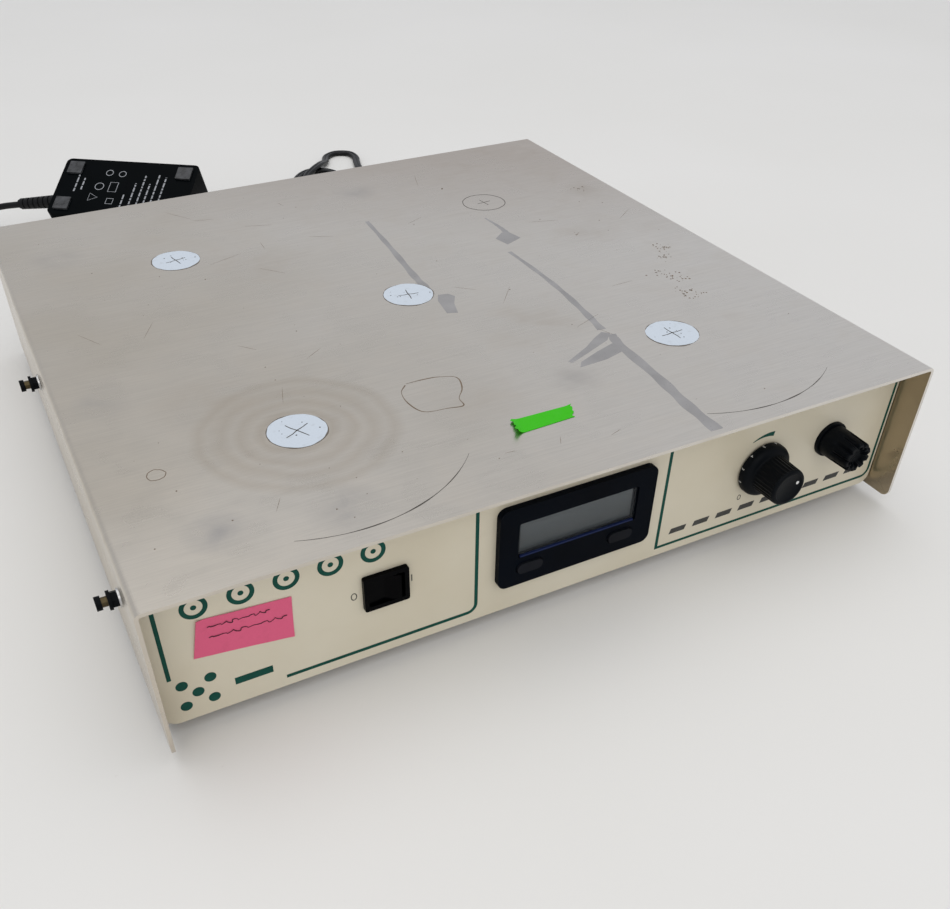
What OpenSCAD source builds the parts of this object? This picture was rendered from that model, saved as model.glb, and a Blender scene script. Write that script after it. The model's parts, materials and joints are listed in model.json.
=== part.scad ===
// Five-position magnetic stirrer with a low square case and a separate power supply.
// Millimetres. +Z up, the control panel faces -Y, and the feet stand on z = 0.
// The origin is the middle of the stirrer's own box, at the height of its feet.

/* [Case] */
// Width of the top cover across its side flanges
cover_w = 355.6; // [350:0.2:365]
// Depth of the top cover from front edge to rear edge
cover_d = 355.6; // [350:0.2:365]
// Height of the folded side flanges
cover_h = 71.2; // [70:0.2:76]
// Thickness of the cover, chassis and panel sheet
sheet_t = 1.5; // [1.2:0.1:1.6]
// How far the cover overhangs the front and rear panels
overhang = 13.6; // [12:0.2:16]
// Gap between the flanges and the table
flange_gap = 5; // [4:0.5:6]

/* [Stirring] */
// Distance of the corner stirring positions from the middle one, along X and along Y
stir_offset = 93; // [90:1:95]
// Radius of the belt grooves on the spindles
groove_r = 15; // [14:0.5:15]
// Radius of the belt groove on the motor pulley
motor_groove_r = 10; // [8:0.5:10]
// Length of the drive magnets
magnet_l = 58; // [50:1:60]

/* [Controls] */
// Diameter of the knob's skirt
knob_d = 26; // [24:0.5:28]
// Distance from the panel to the knob's face
knob_l = 19; // [17:0.5:20]
// Width of the meter's front frame
meter_w = 75; // [72:1:78]
// Height of the meter's front frame
meter_h = 40; // [38:0.5:42]
// Travel of the power rocker in degrees
rocker_turn = 18; // [14:1:18]

/* [Power supply] */
// Length of the power supply's case
supply_l = 101.6; // [98:0.2:104]
// Width of the power supply's case
supply_w = 53.6; // [52:0.2:56]
// Thickness of the power supply's case
supply_t = 30; // [28:0.5:32]
// Diameter of the low-voltage lead
dc_d = 4.5; // [4.2:0.1:4.6]
// Width of the flat mains lead
mains_wide = 6.2; // [6:0.1:6.4]
// Thickness of the flat mains lead
mains_thick = 3.4; // [3.2:0.1:3.6]

/* [Hidden] */
$fn = 48;
eps = 0.01;
knob_reach = knob_l - overhang;
front_y = (knob_reach - cover_d) / 2;
rear_y = front_y + cover_d;
panel_y = front_y + overhang;
wall_y = panel_y + sheet_t;
back_y = rear_y - overhang;
cover_z = flange_gap + cover_h;
pan_z = flange_gap + 1.5;
floor_z = pan_z + sheet_t;
inner_x = cover_w / 2 - sheet_t;
wall_top = cover_z - sheet_t - 0.5;
panel_x = inner_x - 0.5;
bend_r = 2.5;

// Screws that hold the cover's flanges
side_y = [front_y + 45.6, front_y + 221];
side_z = 47.6;
side_hole_r = 2.2;
stud_r = 2;

// Places on the control panel: x, then z
switch_at = [-85, 40.8];
meter_at = [1.1, 41];
knob_at = [100, 38.8];
fuse_at = [139.6, 42.4];
jack_at = [-30, 24];
switch_size = [19, 16.6];
rocker_size = [14.6, 11.8];
switch_cut = [16.6, 14.2];
rocker_pin_r = 0.9;
rocker_pivot_y = panel_y + 3;
meter_cut = [68, 33];
meter_depth = 30;
meter_frame_t = 3;
meter_view_at = meter_at + [0.1, 3];
meter_button_x = [meter_at[0] - 22.9, meter_at[0] + 21.6];
meter_button_z = meter_at[1] - 11.5;
button_out = 0.8;
button_size = [12, 5];
pot_bush_r = 3.5;
fuse_body_r = 6.2;
jack_body_r = 5.4;
fit_gap = 0.15;

// Stirring drive
stir_y = -3;
deck_w = 240;
deck_d = 240;
deck_z = 38;
deck_t = 3;
deck_top = deck_z + deck_t;
standoff_at = [[-112, -45], [112, -45], [-112, 45], [112, 45]];
positions = [[-1, -1], [1, -1], [0, 0], [-1, 1], [1, 1]];
housing_z = 20;
housing_top = 45;
housing_r = 14;
housing_flange_r = 21;
bearing_or = 11;
bearing_ir = 4;
bearing_h = 7;
spindle_clear = 0.03;
pulley_z = housing_top + 1.5;
rim = 1;
groove_h = 5;
rim_r = groove_r + 2;
groove_1 = pulley_z + rim;
groove_2 = groove_1 + groove_h + 2 * rim;
pulley_top = groove_2 + groove_h + rim;
belt_h = 4;
belt_t = 1.2;
belt_gap = 0.3;
magnet_z = pulley_top + 2;
magnet_w = 15;
magnet_h = 9;
motor_x = -48;
motor_r = 22.5;
motor_z = 11;
motor_shaft_r = 2.5;

// Screws of the deck, and the circuit board under it
deck_screw_r = 1.5;
deck_screw_hole_r = 1.65;
flange_t = 3;
board_at = [22, -72];
board_size = [80, 56];
board_z = floor_z + 5;

// Feet
foot_r = 9.5;
foot_at = [145, 140];
foot_mid_y = (front_y + rear_y) / 2;

// Power supply: it lies on its lower front edge, with its rear edge raised
supply_at = [-124.9, 339.8, 0];
supply_turn = -36;
supply_tilt = 24.5;
supply_mid = [0, supply_w / 2, supply_t / 2];
relief_l = 38;
relief_at = [-114.2, 354.4, 24.8];
relief_droop = 7;
connector_l = 22;

// Leads: points from the power supply to the coil, and from the coil to the plug
dc_route_in = [
    [-144, 376, 20], [-158, 385, 17.5], [-172, 393, 13], [-187, 398, 8], [-202, 398, 4],
    [-214, 392, 2.5], [-222, 381, 2.5], [-224, 367, 2.5], [-220, 353, 2.5], [-210, 341, 2.5],
    [-196, 332, 2.5], [-181, 324, 2.5], [-167, 314, 2.5], [-156, 301, 2.5], [-148, 286, 3],
    [-144, 270, 4.5], [-141.5, 254, 6.5], [-141.5, 244, 6.8]
];
dc_route_out = [
    [-112, 210.5, 2.3], [-98, 213, 2.5], [-86, 220, 3], [-76, 230, 4.5], [-65, 239, 7.5],
    [-53, 243, 11.5], [-41, 240, 16], [-33, 230, 20], [-30, 218, 23], [-30, 206, 24]
];
mains_route_in = [
    [0, 271, 25], [12, 263, 23.5], [26, 259, 19], [40, 261, 13], [52, 269, 7], [60, 281, 3.5],
    [64, 296, 2], [66, 312, 2], [67, 328, 2], [67, 344, 2], [68, 360, 2], [71, 376, 2],
    [79, 389, 2], [91, 397, 2], [104, 392, 2], [110, 378, 2], [108, 362, 2], [98, 351, 2.5],
    [85, 351, 3], [77, 362, 3.5], [81, 377, 5], [92, 389, 6], [103, 401, 5.2], [111, 412, 2.6],
    [117.5, 425, 2], [128, 430.5, 2], [138.5, 425, 2], [140, 413, 2], [136, 400, 2], [132.5, 386.5, 2],
    [132, 373, 2], [138, 357, 2], [145, 342, 2], [151, 327, 2], [156, 311, 2], [159.5, 297, 2]
];
mains_route_out = [
    [120, 244.8, 5.1], [107, 243.5, 5.6], [93, 241, 7.5], [79, 240, 8.5]
];
dc_coil_at = [-112, 240];
mains_coil_at = [120, 285];
dc_coil_r = 25;
mains_coil_r = 34;
coil_turns_wide = 3;
plug_tip = [80, 240, 8.5];
plug_relief_l = 20;

// Points of an arc, from angle a0 to angle a1
function arc_points(c, r, a0, a1, n = 6) =
    [for (i = [0:n]) c + r * [cos(a0 + (a1 - a0) * i / n), sin(a0 + (a1 - a0) * i / n)]];

// Outline of a rectangle with rounded corners, with its low corner at the origin
function rounded(w, d, r) = concat(
    arc_points([w - r, r], r, -90, 0), arc_points([w - r, d - r], r, 0, 90),
    arc_points([r, d - r], r, 90, 180), arc_points([r, r], r, 180, 270));

// Outline of a sheet folded to a channel that opens downwards
function channel(w, h, t, r) = concat(
    [[-w / 2, 0]], arc_points([-w / 2 + r, h - r], r, 180, 90),
    arc_points([w / 2 - r, h - r], r, 90, 0), [[w / 2, 0], [w / 2 - t, 0]],
    arc_points([w / 2 - r, h - r], r - t, 0, 90),
    arc_points([-w / 2 + r, h - r], r - t, 90, 180), [[-w / 2 + t, 0]]);

function unit(v) = v / norm(v);

// Direction of travel at point i of a route
function heading(route, i) = unit(route[min(i + 1, len(route) - 1)] - route[max(i - 1, 0)]);

// One ring of a lead's section, wide across the route and thin upwards
function ring(route, i, wide, thin, n) =
    let (
        along = heading(route, i),
        side = unit(cross(along, [0, 0, 1])),
        up = cross(side, along)
    )
    [for (k = [0:n - 1])
        route[i] + side * wide / 2 * cos(360 * (k + 0.5) / n) + up * thin / 2 * sin(360 * (k + 0.5) / n)];

// A plain tube along a route
module tube(route, wide, thin, n = 8) {
    last = len(route) - 1;
    points = [for (i = [0:last]) each ring(route, i, wide, thin, n)];
    sides = [for (i = [0:last - 1], k = [0:n - 1])
        [i * n + k, i * n + (k + 1) % n, (i + 1) * n + (k + 1) % n, (i + 1) * n + k]];
    ends = [[for (k = [n - 1:-1:0]) k], [for (k = [0:n - 1]) last * n + k]];
    polyhedron(points, concat(sides, ends), convexity = 10);
}

// A plate in the XZ plane: at = [x, z] of its middle, from y to y + t
module upright(at, size, y, t, r = 0.5) {
    translate([at[0] - size[0] / 2, y + t, at[1] - size[1] / 2])
        rotate([90, 0, 0])
            linear_extrude(t)
                polygon(rounded(size[0], size[1], r));
}

// A rod along Y from y to y + l
module rod_y(at, r, y, l, r2 = undef) {
    translate([at[0], y, at[1]])
        rotate([-90, 0, 0])
            cylinder(r1 = r, r2 = is_undef(r2) ? r : r2, h = l);
}

// A rod along X from x to x + l
module rod_x(at, r, x, l, sides = 0) {
    translate([x, at[0], at[1]])
        rotate([0, 90, 0])
            cylinder(r = r, h = l, $fn = sides > 0 ? sides : $fn);
}

module at_side_screws() {
    for (s = [0, 1], y = side_y)
        mirror([s, 0, 0])
            translate([cover_w / 2, y, side_z])
                children();
}

module at_position(p) {
    translate([p[0] * stir_offset, stir_y + p[1] * stir_offset, 0])
        children();
}

module at_feet() {
    for (x = [-1, 1], y = [-1, 1])
        translate([x * foot_at[0], foot_mid_y + y * foot_at[1], 0])
            children();
}

module at_supply() {
    translate(supply_at)
        rotate([supply_tilt, 0, supply_turn])
            children();
}

// ---- case ----

module top_cover() {
    corner_r = 4;
    color("silver")
        difference() {
            translate([0, rear_y, flange_gap])
                rotate([90, 0, 0])
                    linear_extrude(cover_d)
                        polygon(channel(cover_w, cover_h, sheet_t, bend_r));
            for (y = [front_y, rear_y])
                rounded_off(y, y < 0 ? 1 : -1, corner_r);
            at_side_screws()
                rod_x([0, 0], side_hole_r, -2 * sheet_t, 4 * sheet_t);
        }
}

// What is cut from a flange's lower corner to round it
module rounded_off(y, way, r) {
    translate([-cover_w / 2 - 1, y, flange_gap])
        difference() {
            translate([0, way > 0 ? -1 : -r, -1])
                cube([cover_w + 2, r + 1, r + 1]);
            translate([-1, way * r, r])
                rotate([0, 90, 0])
                    cylinder(r = r, h = cover_w + 4);
        }
}

// Openings that the front panel and the wall behind it share
module panel_openings(y, t) {
    upright(switch_at, switch_cut + [fit_gap, fit_gap] * 2, y, t);
    upright(meter_at, meter_cut + [fit_gap, fit_gap] * 2, y, t);
    rod_y(knob_at, pot_bush_r + fit_gap, y, t);
    rod_y(fuse_at, fuse_body_r + fit_gap, y, t);
}

module chassis_pan() {
    pan_w = 2 * panel_x;
    pan_d = back_y - wall_y;
    vent_pitch = 9;
    color("gainsboro")
        difference() {
            union() {
                translate([-panel_x, wall_y, pan_z])
                    cube([pan_w, pan_d, sheet_t]);
                translate([-panel_x, wall_y, pan_z])
                    cube([pan_w, sheet_t, wall_top - pan_z]);
                translate([-panel_x, back_y - sheet_t, pan_z])
                    cube([pan_w, sheet_t, wall_top - pan_z]);
            }
            panel_openings(wall_y - 1, sheet_t + 2);
            rod_y(jack_at, jack_body_r + fit_gap, back_y - sheet_t - 1, sheet_t + 2);
            for (i = [0:7])
                upright([60 + vent_pitch * i, 42], [4, 26], back_y - sheet_t - 1, sheet_t + 2, 1.9);
            at_feet()
                translate([0, 0, pan_z - 1])
                    cylinder(r = stud_r + fit_gap, h = sheet_t + 2);
        }
}

module front_panel() {
    corner_r = 5;
    h = wall_top - pan_z;
    outline = concat(
        arc_points([corner_r, corner_r], corner_r, 180, 270),
        arc_points([2 * panel_x - corner_r, corner_r], corner_r, 270, 360),
        [[2 * panel_x, h], [0, h]]);
    color("ivory")
        difference() {
            translate([-panel_x, wall_y, pan_z])
                rotate([90, 0, 0])
                    linear_extrude(sheet_t)
                        polygon(outline);
            panel_openings(panel_y - 1, sheet_t + 2);
        }
}

module rubber_feet() {
    color("dimgray")
        at_feet()
            difference() {
                cylinder(r1 = foot_r - 1, r2 = foot_r, h = pan_z);
                translate([0, 0, -1])
                    cylinder(r = 4.5, h = 4);
                translate([0, 0, -1])
                    cylinder(r = stud_r + fit_gap, h = pan_z + 2);
            }
}

module foot_screws() {
    color("lightsteelblue")
        at_feet() {
            translate([0, 0, 0.8])
                cylinder(r = 3.8, h = 2.2);
            translate([0, 0, 2])
                cylinder(r = stud_r, h = 11);
            difference() {
                translate([0, 0, floor_z])
                    cylinder(r = 4, h = 3.2, $fn = 6);
                cylinder(r = stud_r + 0.05, h = 20);
            }
        }
}

// ---- cover screws ----

module side_brackets() {
    foot_l = 20;
    half_w = 12;
    top_z = 58;
    color("gainsboro")
        at_side_screws()
            translate([-sheet_t - 0.1, 0, 0])
                difference() {
                    union() {
                        translate([-sheet_t, -half_w, floor_z - side_z])
                            cube([sheet_t, 2 * half_w, top_z - floor_z]);
                        translate([-foot_l, -half_w, floor_z - side_z])
                            cube([foot_l, 2 * half_w, sheet_t]);
                        rod_x([0, 0], 4.2, -sheet_t - 3.2, 3.2 + eps, 6);
                    }
                    rod_x([0, 0], stud_r + 0.05, -10, 20);
                }
}

module side_studs() {
    color("darkgoldenrod")
        at_side_screws()
            rod_x([0, 0], stud_r, -9, 17);
}

module side_thumb_nuts() {
    color("black")
        at_side_screws() {
            difference() {
                union() {
                    rod_x([0, 0], 3.3, 0.7, 2.6, 6);
                    rod_x([0, 0], 3.85, 3.2, 1.3);
                }
                rod_x([0, 0], stud_r + 0.05, -1, 8);
            }
            difference() {
                rod_x([0, 0], 2.8, 6.8, 2.2);
                rod_x([0, 0], stud_r, 6, 2);
            }
        }
}

module side_washers() {
    color("silver")
        at_side_screws()
            difference() {
                rod_x([0, 0], 3.85, 0, 0.7);
                rod_x([0, 0], side_hole_r, -1, 3);
            }
}

// ---- power switch ----

module switch_body() {
    frame_t = 2;
    body_l = 14;
    color("black")
        difference() {
            union() {
                upright(switch_at, switch_size, panel_y - frame_t, frame_t, 1);
                upright(switch_at, switch_cut, panel_y - eps, body_l, 0.5);
            }
            upright(switch_at, rocker_size + [0.6, 0.6], panel_y - frame_t - 1, 11, 0.4);
            rocker_pin(rocker_pin_r + 0.05, 1);
        }
}

// The rocker's vertical pin, longer than the rocker by over at each end
module rocker_pin(r, over) {
    translate([switch_at[0], rocker_pivot_y, switch_at[1] - rocker_size[1] / 2 - over])
        cylinder(r = r, h = rocker_size[1] + 2 * over);
}

// The rocker turns about a vertical pin. At rest its left half is pressed in.
module power_rocker() {
    half_w = rocker_size[0] / 2;
    tilt = rocker_turn / 2;
    depth = 4.5;
    color([0.06, 0.06, 0.07]) {
        translate([switch_at[0], rocker_pivot_y, switch_at[1] - rocker_size[1] / 2])
            rotate([0, 0, -tilt])
                linear_extrude(rocker_size[1])
                    polygon([
                        [-half_w + 0.7, -5], [0, -3.6], [half_w - 0.7, -5],
                        [half_w - 1.2, 0], [2.5, depth], [-2.5, depth], [-half_w + 1.2, 0]
                    ]);
        rocker_pin(rocker_pin_r, 0.8);
    }
}

// ---- meter ----

module meter_case() {
    pocket = [57.4, 17.6];
    color([0.08, 0.09, 0.12])
        difference() {
            union() {
                upright(meter_at, [meter_w, meter_h], panel_y - meter_frame_t, meter_frame_t, 4);
                upright(meter_at, meter_cut, panel_y - eps, meter_depth, 1);
            }
            upright(meter_view_at, pocket, panel_y - meter_frame_t - 1, meter_frame_t + 1, 1);
            for (x = meter_button_x)
                meter_button_hole(x);
            upright(meter_at, meter_cut - [4, 4], panel_y + 2, meter_depth - 4, 1);
        }
}

module meter_button_hole(x) {
    upright([x, meter_button_z], button_size + [0.8, 0.8], panel_y - 5, 9, 2.8);
}

// A button cap, a little proud of the frame, and the plunger behind it
module meter_button(x) {
    cap_l = 2.6;
    cap_y = panel_y - meter_frame_t - button_out;
    plunger = [8, 3];
    color([0.16, 0.17, 0.2]) {
        upright([x, meter_button_z], button_size, cap_y, cap_l, 2.4);
        upright([x, meter_button_z], plunger, cap_y + cap_l - eps, 3.4, 1);
    }
}

module meter_window() {
    color([0.3, 0.32, 0.35])
        upright(meter_view_at, [56.8, 17], panel_y - 2, 1.2, 1);
}

module meter_display() {
    color([0.36, 0.38, 0.36])
        upright(meter_view_at, [54.4, 14.6], panel_y - 0.8, 0.8, 0.4);
}

// ---- speed control ----

module speed_knob() {
    skirt_h = 5.5;
    grip_r = 9;
    tip_r = grip_r - 0.6;
    face_y = panel_y - knob_l;
    flutes = 12;
    color([0.05, 0.05, 0.06])
        difference() {
            union() {
                rod_y(knob_at, knob_d / 2 - 0.8, panel_y - skirt_h, skirt_h - 0.6, knob_d / 2);
                rod_y(knob_at, tip_r, face_y, knob_l - skirt_h + eps, grip_r);
            }
            rod_y(knob_at, 3.02, panel_y - 13, 14);
            rod_y(knob_at, 7, panel_y - 3.2, 4);
            for (i = [0:flutes - 1])
                rod_y(knob_at + (grip_r + 1.2) * [cos(30 * i + 15), sin(30 * i + 15)],
                      1.7, face_y - 1, knob_l - skirt_h - 1);
        }
}

module pot_shaft() {
    color("silver")
        rod_y(knob_at, 3, panel_y - 12.8, 16.3);
}

module pot_body() {
    color([0.25, 0.26, 0.25])
        difference() {
            union() {
                rod_y(knob_at, 8.5, wall_y + sheet_t, 10);
                rod_y(knob_at, pot_bush_r, panel_y - 2.8, sheet_t * 2 + 3);
            }
            rod_y(knob_at, 3.04, panel_y - 4, 8);
        }
}

module pot_nut() {
    color("silver")
        difference() {
            translate([knob_at[0], panel_y, knob_at[1]])
                rotate([90, 0, 0])
                    cylinder(r = 5.6, h = 2, $fn = 6);
            rod_y(knob_at, pot_bush_r + 0.05, panel_y - 4, 6);
        }
}

// ---- fuse ----

module fuse_holder() {
    color([0.06, 0.06, 0.07])
        difference() {
            union() {
                rod_y(fuse_at, 8.6, panel_y - 1.6, 1.6);
                rod_y(fuse_at, fuse_body_r, panel_y - eps, 34);
            }
            rod_y(fuse_at, 4.6, panel_y - 3, 35);
        }
}

module fuse_nut() {
    color([0.1, 0.1, 0.11])
        difference() {
            translate([fuse_at[0], wall_y + sheet_t + 3, fuse_at[1]])
                rotate([90, 0, 0])
                    cylinder(r = 8.5, h = 3, $fn = 6);
            rod_y(fuse_at, fuse_body_r + 0.05, wall_y, 8);
        }
}

module fuse_cap() {
    cap_r = 7.6;
    cap_l = 16.7;
    flutes = 14;
    color([0.07, 0.07, 0.08])
        difference() {
            union() {
                rod_y(fuse_at, cap_r - 0.3, panel_y - 1.8 - cap_l, cap_l, cap_r);
                rod_y(fuse_at, 4.4, panel_y - 2, 5);
            }
            rod_y(fuse_at, 2.75, panel_y - 2, 7);
            for (i = [0:flutes - 1])
                rod_y(fuse_at + (cap_r + 0.9) * [cos(360 * i / flutes), sin(360 * i / flutes)],
                      1.5, panel_y - 20, 9);
        }
}

module fuse_link() {
    color("lightgray")
        rod_y(fuse_at, 2.6, panel_y - 1.9, 20);
}

// ---- stirring drive ----

module drive_deck() {
    color("lightgray")
        difference() {
            translate([-deck_w / 2, stir_y - deck_d / 2, deck_z])
                linear_extrude(deck_t)
                    polygon(rounded(deck_w, deck_d, 10));
            for (p = positions)
                at_position(p)
                    cylinder(r = housing_r + fit_gap, h = 100);
            translate([motor_x, stir_y, 0])
                cylinder(r = 6, h = 100);
            at_housing_screws()
                cylinder(r = deck_screw_hole_r, h = 100);
            at_standoffs()
                cylinder(r = deck_screw_hole_r, h = 100);
        }
}

module at_standoffs() {
    for (p = standoff_at)
        translate([p[0], p[1] + stir_y, 0])
            children();
}

module deck_standoffs() {
    color("silver")
        at_standoffs()
            difference() {
                translate([0, 0, floor_z])
                    cylinder(r = 4.6, h = deck_z - floor_z, $fn = 6);
                translate([0, 0, deck_z - 10])
                    cylinder(r = deck_screw_r + 0.05, h = 20);
            }
}

module at_housing_screws() {
    for (p = positions, a = [30, 150, 270])
        at_position(p)
            rotate([0, 0, a])
                translate([17.5, 0, 0])
                    children();
}

module deck_screws() {
    color("silver") {
        at_housing_screws()
            deck_screw(deck_top + flange_t, 7.5);
        at_standoffs()
            deck_screw(deck_top, 12);
    }
}

// A round-headed screw: its head stands on height z, and its shank goes l down
module deck_screw(z, l) {
    translate([0, 0, z])
        cylinder(r = 2.6, h = 1.6);
    translate([0, 0, z - l])
        cylinder(r = deck_screw_r, h = l + eps);
}

module bearing_housings() {
    seat_r = bearing_or + 0.02;
    color("lightgray")
        difference() {
            for (p = positions)
                at_position(p)
                    rotate_extrude()
                        polygon([
                            [seat_r, housing_z], [housing_r, housing_z], [housing_r, deck_top],
                            [housing_flange_r, deck_top], [housing_flange_r, deck_top + flange_t],
                            [housing_r, deck_top + flange_t], [housing_r, housing_top],
                            [seat_r, housing_top], [seat_r, housing_top - bearing_h],
                            [9, housing_top - bearing_h], [9, housing_z + bearing_h],
                            [seat_r, housing_z + bearing_h]
                        ]);
            at_housing_screws()
                translate([0, 0, deck_top - 1])
                    cylinder(r = deck_screw_hole_r, h = flange_t + 2);
        }
}

module ball_bearings() {
    color("silver")
        for (p = positions, z = [housing_z, housing_top - bearing_h])
            at_position(p)
                translate([0, 0, z])
                    difference() {
                        cylinder(r = bearing_or, h = bearing_h);
                        translate([0, 0, -1])
                            cylinder(r = bearing_ir, h = bearing_h + 2);
                    }
}

// A turned spindle with two belt grooves
module spindle(p) {
    shaft_r = bearing_ir - spindle_clear;
    color("gray")
        at_position(p)
            rotate_extrude()
                polygon([
                    [0, housing_z - 1], [shaft_r, housing_z - 1], [shaft_r, housing_top + 0.2],
                    [5.5, housing_top + 0.2], [5.5, pulley_z], [rim_r, pulley_z],
                    [rim_r, groove_1], [groove_r, groove_1], [groove_r, groove_1 + groove_h],
                    [rim_r, groove_1 + groove_h], [rim_r, groove_2], [groove_r, groove_2],
                    [groove_r, groove_2 + groove_h], [rim_r, groove_2 + groove_h],
                    [rim_r, pulley_top], [12, pulley_top], [12, magnet_z], [0, magnet_z]
                ]);
}

// A bar magnet with two raised poles, fixed on top of a spindle
module drive_magnet(p) {
    pole_l = 14;
    bar_h = 4;
    color([0.35, 0.36, 0.38])
        at_position(p)
            translate([0, -magnet_w / 2, magnet_z]) {
                translate([-magnet_l / 2, 0, 0])
                    cube([magnet_l, magnet_w, bar_h]);
                for (x = [-magnet_l / 2, magnet_l / 2 - pole_l])
                    translate([x, 0, bar_h - eps])
                        cube([pole_l, magnet_w, magnet_h - bar_h]);
            }
}

module motor_can() {
    color("dimgray")
        translate([motor_x, stir_y, 0])
            difference() {
                translate([0, 0, motor_z])
                    cylinder(r = motor_r, h = deck_z - motor_z);
                translate([0, 0, motor_z + 2])
                    cylinder(r = motor_shaft_r + 0.05, h = 100);
            }
}

module motor_shaft() {
    color("silver")
        translate([motor_x, stir_y, motor_z + 3])
            cylinder(r = motor_shaft_r, h = groove_1 + groove_h + rim - motor_z - 3);
}

module motor_pulley() {
    r = motor_groove_r;
    color("gray")
        translate([motor_x, stir_y, 0])
            rotate_extrude()
                polygon([
                    [motor_shaft_r + 0.01, pulley_z], [r + 2, pulley_z], [r + 2, groove_1],
                    [r, groove_1], [r, groove_1 + groove_h], [r + 2, groove_1 + groove_h],
                    [r + 2, groove_1 + groove_h + rim], [motor_shaft_r + 0.01, groove_1 + groove_h + rim]
                ]);
}

// Part of a flat belt that lies round a pulley, from angle a0 on through sweep
module belt_bend(r, a0, sweep) {
    rotate([0, 0, a0])
        rotate_extrude(angle = sweep)
            translate([r + belt_gap, 0])
                square([belt_t, belt_h]);
}

// Straight run of a flat belt along +X, with its inner face on y = 0
module belt_run(l) {
    cube([l, belt_t, belt_h]);
}

// Open belt round a pulley of radius r1 at the origin and one of radius r2 at x = d
module open_belt(d, r1, r2) {
    wrap = acos((r1 - r2) / d);
    run = sqrt(d * d - (r1 - r2) * (r1 - r2));
    belt_bend(r1, wrap, 360 - 2 * wrap);
    translate([d, 0, 0])
        belt_bend(r2, -wrap, 2 * wrap);
    for (s = [0, 1])
        mirror([0, s, 0])
            rotate([0, 0, wrap - 90])
                translate([0, r1 + belt_gap, 0])
                    belt_run(run);
}

module motor_belt() {
    color([0.1, 0.1, 0.1])
        translate([0, stir_y, groove_1 + (groove_h - belt_h) / 2])
            rotate([0, 0, 180])
                open_belt(-motor_x, groove_r, motor_groove_r);
}

module cross_belt() {
    color([0.1, 0.1, 0.1])
        translate([0, stir_y, groove_2 + (groove_h - belt_h) / 2])
            rotate([0, 0, 45])
                open_belt(stir_offset * sqrt(2), groove_r, groove_r);
}

module corner_belt() {
    side = 2 * stir_offset;
    color([0.1, 0.1, 0.1])
        translate([0, stir_y, groove_1 + (groove_h - belt_h) / 2])
            for (i = [0:3])
                rotate([0, 0, 90 * i])
                    translate([-stir_offset, stir_offset, 0]) {
                        translate([0, groove_r + belt_gap, 0])
                            belt_run(side);
                        translate([side, 0, 0])
                            belt_bend(groove_r, 0, 90);
                    }
}

// ---- electronics ----

module control_board() {
    color("darkgreen")
        translate([board_at[0], board_at[1], 0]) {
            translate([0, 0, board_z])
                cube([board_size[0], board_size[1], 1.6]);
            for (x = [5, board_size[0] - 5], y = [5, board_size[1] - 5])
                translate([x, y, floor_z])
                    cylinder(r = 2.5, h = board_z - floor_z);
        }
}

module board_parts() {
    top = board_z + 1.6;
    color([0.15, 0.15, 0.18])
        translate([board_at[0], board_at[1], top]) {
            for (i = [0:2])
                translate([12 + 12 * i, 44, 0])
                    cylinder(r = 4, h = 12);
            translate([10, 14, 0])
                cube([14, 10, 2.5]);
            translate([32, 8, 0])
                cube([9, 20, 3]);
            translate([60, 12, 0])
                cube([4, 30, 15]);
            for (i = [0:3])
                translate([50 - 8 * i, 30, 0])
                    cube([5, 3, 3]);
        }
}

module dc_jack() {
    color([0.08, 0.08, 0.09])
        difference() {
            union() {
                rod_y(jack_at, 6.8, back_y, 1.5);
                rod_y(jack_at, jack_body_r, back_y - 16, 16 + eps);
                translate([jack_at[0], back_y - sheet_t, jack_at[1]])
                    rotate([90, 0, 0])
                        cylinder(r = 7.6, h = 2.4, $fn = 6);
            }
            difference() {
                rod_y(jack_at, 2.9, back_y - 11, 20);
                rod_y(jack_at, 0.9, back_y - 12, 11);
            }
        }
}

// ---- power supply and its leads ----

module supply_case() {
    color([0.05, 0.06, 0.07])
        at_supply()
            linear_extrude(supply_t)
                polygon(rounded(supply_l, supply_w, 4));
}

module supply_feet() {
    pad = 11;
    inset = 4;
    color([0.2, 0.22, 0.25])
        at_supply()
            for (x = [inset, supply_l - inset - pad], y = [inset, supply_w - inset - pad])
                translate([x, y, supply_t])
                    cube([pad, pad, 1.4]);
}

// A tapered sleeve with ribs, along +Z
module ribbed_sleeve(l, r1, r2, ribs) {
    step = l / ribs;
    profile = [for (i = [0:ribs - 1], k = [0:3])
        [r1 + (r2 - r1) * i / ribs - (k > 1 ? 0.7 : 0), step * (i + [0, 0.62, 0.62, 1][k])]];
    rotate_extrude()
        polygon(concat([[0, 0]], profile, [[0, l]]));
}

module supply_relief() {
    color([0.06, 0.06, 0.07])
        translate(relief_at)
            rotate([0, 90 + relief_droop, 180 + supply_turn])
                ribbed_sleeve(relief_l, 4.8, 3.8, 9);
}

// Outer shape of a coil of wide x high turns that are a and b apart
module coil(at, r, wide, high) {
    translate([at[0], at[1], 0])
        rotate_extrude()
            translate([r - wide / 2, 0])
                polygon(rounded(wide, high, min(wide, high) * 0.3));
}

module dc_lead() {
    color([0.06, 0.06, 0.07]) {
        tube(dc_route_in, dc_d, dc_d);
        tube(dc_route_out, dc_d, dc_d);
    }
}

module dc_coil() {
    color([0.06, 0.06, 0.07])
        coil(dc_coil_at, dc_coil_r, coil_turns_wide * dc_d, 2 * dc_d);
}

module dc_plug() {
    face = back_y + 1.6;
    color([0.08, 0.08, 0.09])
        difference() {
            union() {
                rod_y(jack_at, 5.2, face, 22);
                translate([jack_at[0], face + 21.9, jack_at[1]])
                    rotate([-90, 0, 0])
                        ribbed_sleeve(16, 4, 3, 5);
                rod_y(jack_at, 2.75, back_y - 8, 10);
            }
            rod_y(jack_at, 1.3, back_y - 9, 10);
        }
}

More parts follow.
